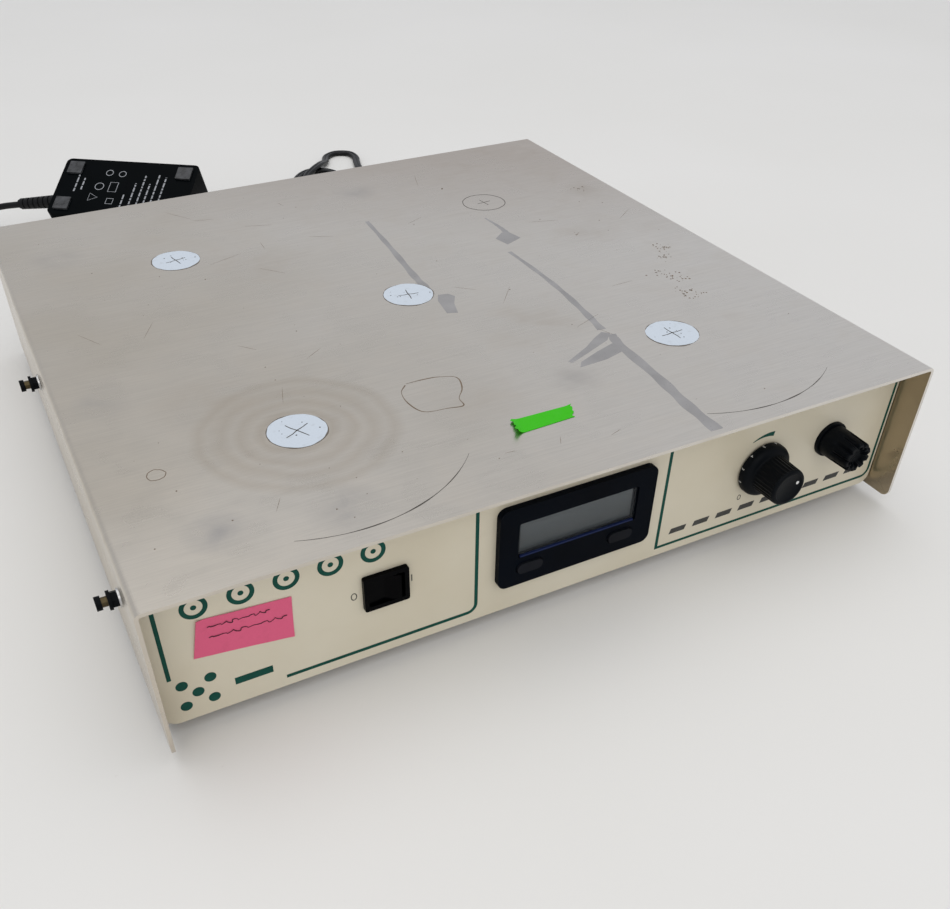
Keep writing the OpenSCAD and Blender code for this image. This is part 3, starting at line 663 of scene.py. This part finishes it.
def panel_emblem(ink):
    """Plain marks in place of the maker's printing: five rings, a square of five dots and a bar."""
    first_ring, ring_pitch = (-157, 60), 17
    emblem_at, emblem_pitch = (-162, 19.5), 5.4
    bm = bmesh.new()
    for i in range(5):
        at = (first_ring[0] + ring_pitch * i, first_ring[1])
        band(bm, circle(at, 4.2), 1.8, on_panel, closed=True)
        plate(bm, circle(at, 1.1, 16), on_panel)
    for dx, dz in ((-1, -1), (1, -1), (0, 0), (-1, 1), (1, 1)):
        at = (emblem_at[0] + emblem_pitch * dx, emblem_at[1] + emblem_pitch * dz)
        plate(bm, circle(at, 2.3, 24), on_panel)
    plate(bm, rectangle(-148, 16.5, 15, 3.5), on_panel)
    piece("panel_emblem", bm, ink, "stirrer")


def panel_symbols(grey):
    """The 0 and I by the switch, the 0 below the knob, and slanted bars in place of its scale."""
    bm = bmesh.new()
    for x, z, wide, high, stroke in ((-98, 40.8, 1.1, 1.6, 0.4), (91.1, 24.6, 0.9, 1.3, 0.35)):
        zero = [(x + wide * cx, z + high * cz) for cx, cz in circle((0, 0), 1, 24)]
        band(bm, zero, stroke, on_panel, closed=True)
    band(bm, straight((-73.7, 39.4), (-73.7, 42.6)), 0.45, on_panel)
    low, high = 16.6, 19.4
    long, slant, pitch = 8.5, 1, 13
    for i in range(9):
        x = 53 + pitch * i
        bar = [(x, low), (x + long, low), (x + long + slant, high), (x + slant, high)]
        plate(bm, bar, on_panel)
    piece("panel_symbols", bm, grey, "stirrer")


def tape(name, material, corners, steps, shape, thick, normal):
    """A strip over four corners: shape places a point from its share of the length and width."""
    corners = [Vector(p) for p in corners]
    along, across = steps
    rows = []
    for i in range(across + 1):
        v = i / across
        row = []
        for j in range(along + 1):
            u = j / along
            flat = corners[0].lerp(corners[1], u).lerp(corners[3].lerp(corners[2], u), v)
            row.append(shape(u, v, flat))
        rows.append(row)
    bm = bmesh.new()
    sheet_between(bm, rows, thick, normal)
    smooth_by_angle(piece(name, bm, material, "stirrer"), 60)


def pink_tape(material):
    """A strip of tape on the panel, a little skewed, with lifted corners."""
    def lifted(u, v, flat):
        wave = 0.12 * math.sin(9 * u + 4 * v) + 0.10 * math.sin(23 * v - 7 * u)
        right_corner = 11 * max(0, u - 0.9) * max(0, 0.3 - v)
        left_corner = 8 * max(0, 0.08 - u) * v
        return on_panel(flat.x, flat.y, 0.2 + max(0, wave) + right_corner + left_corner)

    corners = ((-160.9, 36.5), (-123, 31.5), (-122.1, 51.2), (-157.4, 53.9))
    tape("pink_tape", material, corners, (24, 12), lifted, 0.12 * MM,
         Vector((0, -1, 0)))


def pen_scribble(pen):
    """Two wavy pen lines on the tape, in place of its handwriting."""
    steps, low, high = 89, 0.5, 0.62
    bm = bmesh.new()
    for left, right, z, drop in ((-154, -131, 49.5, -1.2), (-154, -125, 44.5, -1.6)):
        line = []
        for i in range(steps + 1):
            s = i / steps
            x = left + (right - left) * s + 0.35 * math.sin(70 * s)
            wave = 0.75 * math.sin(46 * s) * (0.55 + 0.45 * math.sin(13 * s + left))
            line.append((x, z + drop * s + wave))
        band(bm, line, lambda s: 0.28 + 0.08 * math.sin(21 * s), on_panel, low, high)
    piece("pen_scribble", bm, pen, "stirrer")


# ---------------------------------------------------------------- the cover

def ragged(centre, r, amount, seed, steps=60):
    """A circle with a torn edge."""
    rnd = random.Random(seed)
    waves = [(k, rnd.uniform(0, 6.28), rnd.uniform(0.3, 1)) for k in (2, 3, 5, 8, 13, 21)]
    points = []
    for i in range(steps):
        turn = i / steps
        wobble = sum(size * math.sin(2 * math.pi * k * turn + phase) / math.sqrt(k)
                     for k, phase, size in waves)
        points.append(polar(centre, r + amount * wobble, 360 * turn))
    return points


def stickers(white, rim, pen):
    """Four round white stickers with worn edges, specks and a pen cross of its own size and turn."""
    crosses = (("rear_left", 5.5, 12), ("centre", 5.2, -8), ("front_left", 6.5, 30),
               ("front_right", 6, 4))
    edge_r, face_r = 12.75, 12.35
    edge_up, face_up, pen_up = 0.05, 0.17, 0.21
    specks = 7
    for i, (name, size, turn) in enumerate(crosses):
        at = POSITIONS[name]
        bm = bmesh.new()
        plate(bm, ragged(at, edge_r, 0.28, 40 + i), on_top, 0, edge_up)
        piece(f"sticker_edge_{name}", bm, rim, "stirrer")
        bm = bmesh.new()
        plate(bm, ragged(at, face_r, 0.24, 60 + i), on_top, edge_up, face_up)
        piece(f"sticker_{name}", bm, white, "stirrer")
        bm = bmesh.new()
        for a in (turn, turn + 90):
            dx, dy = polar((0, 0), size, a)
            line = [(at[0] + dx * s + 0.15 * math.sin(9 * s), at[1] + dy * s + 0.2 * math.cos(5 * s))
                    for s in (-1, -0.5, 0, 0.5, 1)]
            band(bm, line, lambda s: 0.35 + 0.15 * math.sin(3 * s), on_top, face_up, pen_up)
        rnd = random.Random(80 + i)
        for _ in range(specks):
            a, r = rnd.uniform(0, 6.28), rnd.uniform(2, 11)
            spot = polar(at, r, math.degrees(a))
            plate(bm, circle(spot, rnd.uniform(0.18, 0.42), 8), on_top, face_up, pen_up)
        piece(f"sticker_cross_{name}", bm, pen, "stirrer")


def drawn_circle(pen):
    """The fifth place has no sticker: it is a circle and a cross in pen."""
    bm = bmesh.new()
    at = POSITIONS["rear_right"]
    band(bm, ragged(at, 12.6, 0.18, 7), 0.4, on_top, closed=True)
    for dx, dy in ((4.5, 0.6), (-0.6, 4.5)):
        band(bm, straight((at[0] - dx, at[1] - dy), (at[0] + dx, at[1] + dy)), 0.3, on_top)
    piece("drawn_circle", bm, pen, "stirrer")


def pen_arcs(pen):
    """Two arcs that were scribed round the front positions."""
    scribed_r = 71
    bm = bmesh.new()
    for name, start, end in (("front_left", -111, -40), ("front_right", -115, -54)):
        band(bm, arc(POSITIONS[name], scribed_r, start, end, 60),
             lambda s: 0.12 + 0.5 * math.sin(math.pi * s) * (0.6 + 0.4 * math.sin(25 * s)), on_top)
    piece("drawn_arcs", bm, pen, "stirrer")


def smears(tint):
    """Dried streaks, with their width at either end, and blots, darker and greyer than the sheet."""
    bm = bmesh.new()
    streaks = (
        ([(19, 94), (16, 56), (12, 16), (11, -4)], 2.2, 4.6),
        ([(82, 68), (83, 54), (82.5, 42)], 1.0, 3.6),
        ([(71, 20), (71.5, -10), (70.5, -36), (68, -60), (65.5, -78)], 2.2, 4.0),
        ([(67, -84), (64.5, -95), (62.5, -127), (60, -150), (59, -172)], 4.4, 5.6),
    )
    for number, (points, first, last) in enumerate(streaks):
        band(bm, flat_curve(points, 10),
             lambda s: (first + (last - first) * s) * (1 + 0.12 * math.sin(31 * s + number)),
             on_top, high=0.02)
    blots = (
        [(75, 29), (86, 34), (84, 44), (80, 45), (73, 39)],
        [(64, -80), (67, -83), (62, -88), (48, -94), (36, -99), (35, -97), (50, -89), (57, -84)],
        [(64, -91), (67, -90), (66, -99), (52, -103), (37, -104), (40, -100), (52, -95)],
        [(13, -10), (18, -11), (20, -15), (16, -22), (13, -32), (8, -30), (10, -16)],
    )
    for number, points in enumerate(blots):
        plate(bm, points, on_top, high=0.021 + 0.001 * number)
    piece("dried_streaks", bm, tint, "stirrer")


def small_stains(brown):
    """A ring, a loop, clusters of specks and loose specks and scratches on the cover."""
    def speck(at, r):
        plate(bm, circle(at, r, 7), on_top, high=0.03)

    bm = bmesh.new()
    band(bm, ragged((-151.5, -100.8), 3.6, 0.25, 31, 40), 0.35, on_top, high=0.03, closed=True)
    loop = [(-38, -82), (-30, -82), (-23, -83), (-16, -87), (-18, -96), (-23, -103), (-24, -109),
            (-31, -108), (-41, -106), (-44, -97), (-43, -88), (-39, -83)]
    band(bm, flat_curve(loop, 6), lambda s: 0.25 + 0.4 * math.sin(14 * s) ** 2, on_top, high=0.03)
    clusters = ((147, -13, 2.6, 24), (141, -23, 1.8, 14), (129, -41, 2.6, 18), (134, -48, 3.0, 16),
                (126, -66, 3.4, 34), (155, 85, 3.0, 12), (117.6, 24.3, 1.2, 6), (81, 121.4, 0.5, 3))
    loose_specks, scratches, reach = 60, 26, 170
    rnd = random.Random(5)
    for x, y, spread, count in clusters:
        for _ in range(count):
            speck((rnd.gauss(x, spread), rnd.gauss(y, spread)), rnd.uniform(0.15, 0.6))
    for _ in range(loose_specks):
        speck((rnd.uniform(-165, 165), rnd.uniform(-165, 170)), rnd.uniform(0.12, 0.4))
    for _ in range(scratches):
        start = (rnd.uniform(-160, 160), rnd.uniform(-165, 165))
        a, long = rnd.uniform(0, 6.28), rnd.uniform(4, 22)
        end = polar(start, long, math.degrees(a))
        if max(abs(end[0]), abs(end[1])) < reach:
            band(bm, straight(start, end, 4), lambda s: 0.03 + 0.14 * math.sin(math.pi * s), on_top,
                 high=0.02)
    piece("small_stains", bm, brown, "stirrer")


def green_tape(material):
    """A short strip of tape on the cover with torn ends, curled up at its left end."""
    curl_high, curl_end = 2.6, 0.14

    def curled(u, v, flat):
        notch = 0.5 * math.sin(17 * v + 2) + 0.3 * math.sin(41 * v)
        x = flat.x + (notch if u in (0, 1) else 0)
        curl = curl_high * max(0.0, curl_end - u) / curl_end * (0.55 + 0.45 * (1 - v))
        edge = 0.5 * max(0.0, u - 0.92) / 0.08 * v
        return on_top(x, flat.y, 0.06 + curl * curl / curl_high + edge)

    corners = ((-15.3, -138.7), (12.4, -137.6), (16.3, -129), (-12.3, -128.5))
    tape("green_tape", material, corners, (30, 8), curled, 0.14 * MM,
         Vector((0, 0, 1)))


# ---------------------------------------------------------------- controls

def knob(black, white):
    """The speed knob: a numbered skirt, a ribbed grip and a dished face with a dot."""
    ribs, ribs_from, ribs_to = 30, 6.8, 17.6

    def flute(angle, out):
        if not ribs_from < out < ribs_to:
            return 0.0
        return 0.3 * (0.5 - 0.5 * math.cos(ribs * angle)) ** 0.7

    profile = [(6.5, 0.7), (12.7, 0.7), (13, 1.0), (13, 2.8), (12.85, 3.6), (12.45, 4.5),
               (11.8, 5.2), (11.0, 5.7), (10.2, 5.95), (9.6, 6.1), (9.35, 6.4), (9.25, 6.9),
               (9.2, 8), (9.1, 12), (9.0, 16), (8.95, 17.5), (8.9, 17.8), (8.6, 18.5),
               (8.2, 18.85), (7.7, 19), (7.1, 18.95), (6.8, 18.6), (6.5, 18.4), (0.6, 18.3)]
    bm = bmesh.new()
    turned(bm, profile, KNOB_AT, 240, flute)
    made = piece("knob", bm, black, "knob")
    smooth_by_angle(made, 38)
    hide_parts("speed_knob")
    face, dot_up = 18.25, 18.5
    bm = bmesh.new()
    plate(bm, circle(polar(KNOB_AT, 5, 16), 0.8, 20), on_panel, face, dot_up)
    piece("knob_marks", bm, white, "knob")
    zero_at, apart = 253, 30
    for i in range(11):
        digits(str(i), zero_at - apart * i, white)


def digits(word, degrees, material):
    """A number that stands on the round side of the knob's skirt."""
    skirt_r, baseline = 12.99, 1.3
    data = bpy.data.curves.new("digits", "FONT")
    data.body = word
    data.size = 2.0
    data.extrude = 0.03
    data.align_x = "CENTER"
    text = added("digits", data)
    bpy.context.view_layer.update()
    mesh = bpy.data.meshes.new_from_object(text)
    bpy.data.objects.remove(text)
    a = math.radians(degrees)
    radial = Vector((math.cos(a), 0, math.sin(a)))
    outward = Vector((0, -1, 0))
    across = outward.cross(radial)
    turn = Matrix((across, outward, radial)).transposed().to_4x4()
    place = Vector((KNOB_AT[0], PANEL_Y / MM - baseline, KNOB_AT[1])) + radial * skirt_r
    mesh.transform(Matrix.Scale(MM, 4) @ Matrix.Translation(place) @ turn)
    mesh.materials.clear()
    mesh.materials.append(material)
    made = added(f"knob_number_{word}", mesh)
    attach(made, "knob")


def fuse_cap(black):
    """The fuse cap: a plain collar, and a ribbed grip with a dished face."""
    ribs, ribs_from, ease, tip = 10, 8.8, 1.2, 16

    def flute(angle, out):
        if out < ribs_from:
            return 0.0
        deep = 0.9 if out < tip else 1.5
        return deep * max(0.0, math.cos(ribs * angle)) ** 1.2 * min(1.0, (out - ribs_from) / ease)

    profile = [(6.2, 1.9), (7.2, 1.9), (7.55, 2.2), (7.6, 3), (7.6, 8.6), (7.5, 9.2), (7.5, 9.6),
               (7.55, 10.4), (7.5, 11.4), (7.45, 14), (7.4, 17), (7.25, 17.9), (6.9, 18.4),
               (6.3, 18.5), (5.6, 18.4), (5.1, 17.4), (4.6, 16.6), (0.4, 16.5)]
    bm = bmesh.new()
    turned(bm, profile, FUSE_AT, 196, flute)
    made = piece("fuse_grip", bm, black, "fuse_twist_cap")
    smooth_by_angle(made, 38)
    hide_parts("fuse_cap")


def meter_sill(highlight_navy):
    """A navy strip along the lower edge of the meter's window: a painted highlight for the bluish
    light that the edge catches.
    """
    left, right, steps = -26.4, 28.8, 12
    low, high, back, front = 35.3, 36.1, 2.05, 2.95
    corners = ((low, front), (high, front), (high, back), (low, back))
    bm = bmesh.new()
    bridge(bm, [[bm.verts.new(on_panel(left + (right - left) * i / steps, z, out))
                 for z, out in corners] for i in range(steps + 1)])
    piece("meter_window_painted_highlight", bm, highlight_navy, "stirrer")


def fuse_end(steel):
    """The metal end cap of the glass fuse, at the end that lies deepest in the holder."""
    profile = [(0.3, -18.2), (2.3, -18.2), (2.66, -17.9), (2.66, -13.2), (2.5, -13), (0.3, -13)]
    bm = bmesh.new()
    turned(bm, profile, FUSE_AT, 48)
    smooth_by_angle(piece("fuse_end_cap", bm, steel, "fuse_carrier"), 38)


def supply_label(grey):
    """Rows of dashes, rings and frames on the power supply, in place of its rating text."""
    ink, stroke, letter_h, gap = 0.04, 0.5, 1.1, 1
    rows = ((13.5, 22, 38), (18.5, 24, 36), (52, 8, 22), (58, 10, 33), (63.5, 10, 41), (68.5, 8, 33),
            (73.5, 10, 42), (79, 12, 40))
    rnd = random.Random(11)
    bm = bmesh.new()
    for x, low, high in rows:
        y = low
        while y < high:
            long = min(rnd.uniform(1.6, 5.0), high - y)
            plate(bm, rectangle(x, y, letter_h, long), on_supply, 0, ink)
            y += long + gap
    for x, y, r in ((46, 41, 2.6), (36, 41.5, 2.6), (32, 28, 3.2)):
        band(bm, circle((x, y), r, 24), stroke, on_supply, 0, ink, closed=True)
    for outline in ((39.5, 23.5, 6, 9), (41, 12, 5, 5)):
        band(bm, rectangle(*outline), stroke, on_supply, 0, ink, closed=True)
    band(bm, [(27, 14), (33.5, 17.5), (27, 21)], stroke, on_supply, 0, ink, closed=True)
    piece("supply_print", bm, grey, "stirrer")


# ---------------------------------------------------------------- putting it together

def paint_nodes():
    """Every node of the design gets the material of its slot, or a special one of its own."""
    black = (0.0032, 0.0042, 0.0056)
    looks = {
        "brushed_cover": cover_steel("cover_steel"),
        "chassis_sheet": cover_steel("chassis_steel", wear=False),
        "cream_paint": cream_paint("cream_paint"),
        "foot_rubber": moulded("foot_rubber", (0.035, 0.035, 0.035), 0.7),
        "zinc_screw": metal("zinc", (0.62, 0.63, 0.64), 0.3),
        "black_plastic": moulded("black_plastic", black, 0.4, grain=0.0008),
        "black_gloss": moulded("black_gloss", (0.0008, 0.0008, 0.0012), 0.2, bump=0.05, gloss=0.035),
        "meter_plastic": moulded("meter_plastic", (0.0010, 0.0022, 0.0048), 0.40, grain=0.0004,
                                 gloss=0.03),
        "meter_glass": clear("meter_glass", (0.10, 0.11, 0.12)),
        "display_grey": display("display_grey"),
        "button_rubber": moulded("button_rubber", (0.0075, 0.0085, 0.0115), 0.5),
        "brass": metal("brass", (0.085, 0.066, 0.036), 0.34, stretch=(1, 0.1, 1)),
        "turned_steel": metal("turned_steel", (0.56, 0.56, 0.55), 0.28, stretch=(1, 1, 6)),
        "aluminium": metal("aluminium", (0.72, 0.73, 0.74), 0.38, stretch=(0.1, 1, 1)),
        "magnet_metal": metal("magnet_metal", (0.32, 0.32, 0.33), 0.25),
        "motor_paint": moulded("motor_paint", (0.04, 0.04, 0.045), 0.35),
        "belt_rubber": moulded("belt_rubber", (0.022, 0.022, 0.022), 0.65),
        "green_board": moulded("green_board", (0.02, 0.14, 0.05), 0.3, vary=0.15),
        "board_black": moulded("board_black", (0.03, 0.03, 0.035), 0.45),
        "fuse_glass": clear("fuse_glass", (0.72, 0.76, 0.77), 0.3),
        "lead_jacket": moulded("lead_jacket", (0.0045, 0.0048, 0.0055), 0.33, grain=0.002, bump=0.08,
                               gloss=0.2),
    }
    special = {
        "mains_plug": bladed("mains_plug"),
        "supply_case": moulded("supply_plastic", (0.0016, 0.0024, 0.0030), 0.3, gloss=0.015),
        "supply_feet": pad("supply_pad"),
    }
    for part in frame["record"]["subparts"]:
        shown = NODES[part["node"]]
        shown.data.materials.clear()
        shown.data.materials.append(special.get(part["node"], looks[part["material_slot"]]))
    return looks


def soften(node, width):
    """Rounds a design node's sharp edges a little, as moulding or filing would."""
    bevel = NODES[node].modifiers.new("soft_edges", "BEVEL")
    bevel.width = width * MM
    bevel.segments = 3
    bevel.limit_method = "ANGLE"
    bevel.angle_limit = SHARP
    bevel.harden_normals = False


def chamfer_meter(rim, other):
    """Cuts a wide bevel round the front of the meter's frame and a narrow one on its openings."""
    shown = NODES["meter_case"]
    mesh = shown.data
    low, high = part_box("meter_case")
    rim_wide, face_deep = 4.5 * MM, 0.05 * MM
    around = {}
    for polygon in mesh.polygons:
        for key in polygon.edge_keys:
            around.setdefault(key, []).append(polygon.normal)

    def on_rim(index):
        place = shown.matrix_world @ mesh.vertices[index].co
        edge = min(place.x - low.x, high.x - place.x, place.z - low.z, high.z - place.z)
        return place.y < low.y + face_deep and edge < rim_wide

    weights = mesh.attributes.new("bevel_weight_edge", "FLOAT", "EDGE")
    for edge in mesh.edges:
        sides = around[edge.key]
        if len(sides) == 2 and sides[0].angle(sides[1], 0) > SHARP:
            rim_edge = all(on_rim(index) for index in edge.vertices)
            weights.data[edge.index].value = 1.0 if rim_edge else other / rim
    bevel = shown.modifiers.new("front_chamfer", "BEVEL")
    bevel.width = rim * MM
    bevel.segments = 2
    bevel.limit_method = "WEIGHT"


def floor():
    """A pale bench top with faint specks."""
    look = Look("floor", 0.55)
    cloud = look.noise(0.35, detail=3.0)
    specks = look.noise(0.004, detail=6.0)
    colour = look.ramp(cloud, [(0.3, (0.775, 0.765, 0.735)), (0.7, (0.80, 0.79, 0.765))])
    colour = look.mix(look.between(specks, 0.74, 0.8, 0.0, 0.25), colour, (0.55, 0.50, 0.44))
    look.finish(colour)
    size = 10
    bm = bmesh.new()
    bm.faces.new([bm.verts.new((x, y, 0)) for x, y in rectangle(-size / 2, -size / 2, size, size)])
    mesh = bpy.data.meshes.new("floor")
    bm.to_mesh(mesh)
    bm.free()
    mesh.materials.append(look.material)
    ground = added("floor", mesh)


camera()
studio()
looks = paint_nodes()
low_voltage_lead(looks["lead_jacket"])
mains_lead(looks["lead_jacket"])
floor()

green_ink = printed("green_ink", (0.004, 0.062, 0.045), 0.45)
dark_ink = printed("dark_ink", (0.06, 0.06, 0.055), 0.5)
pen_ink = printed("pen_ink", (0.075, 0.068, 0.06), 0.5)
white_ink = printed("white_ink", (0.78, 0.78, 0.76), 0.45, wear=-0.1)
grey_ink = printed("grey_ink", (0.30, 0.31, 0.33), 0.5)
panel_print(green_ink)
panel_emblem(green_ink)
panel_symbols(dark_ink)
pink_tape(paper("pink_paper", (0.74, 0.125, 0.235), dirt=(0.55, 0.09, 0.17), amount=0.3))
pen_scribble(printed("marker_ink", (0.06, 0.02, 0.03), 0.5))
stickers(paper("sticker_paper", (0.60, 0.66, 0.73), dirt=(0.36, 0.36, 0.35)),
         printed("sticker_edge", (0.14, 0.12, 0.10)), pen_ink)
drawn_circle(pen_ink)
pen_arcs(pen_ink)
smears(metal("dried_film", (0.47, 0.455, 0.445), 0.33))
small_stains(printed("brown_stain", (0.16, 0.12, 0.085)))
green_tape(paper("green_paper", (0.045, 0.50, 0.008), dirt=(0.03, 0.34, 0.008), amount=0.25))
knob(looks["black_plastic"], white_ink)
fuse_cap(looks["black_plastic"])
# painted highlight: a navy strip for the light on the meter window's lower edge
meter_sill(printed("navy_painted_highlight", (0.007, 0.014, 0.060), 0.35))
fuse_end(looks["zinc_screw"])
supply_label(grey_ink)
for name, width in (("supply_case", 1.2), ("switch_body", 0.35), ("mains_plug", 0.8),
                    ("power_rocker", 0.3)):
    soften(name, width)
chamfer_meter(1.8, 0.35)
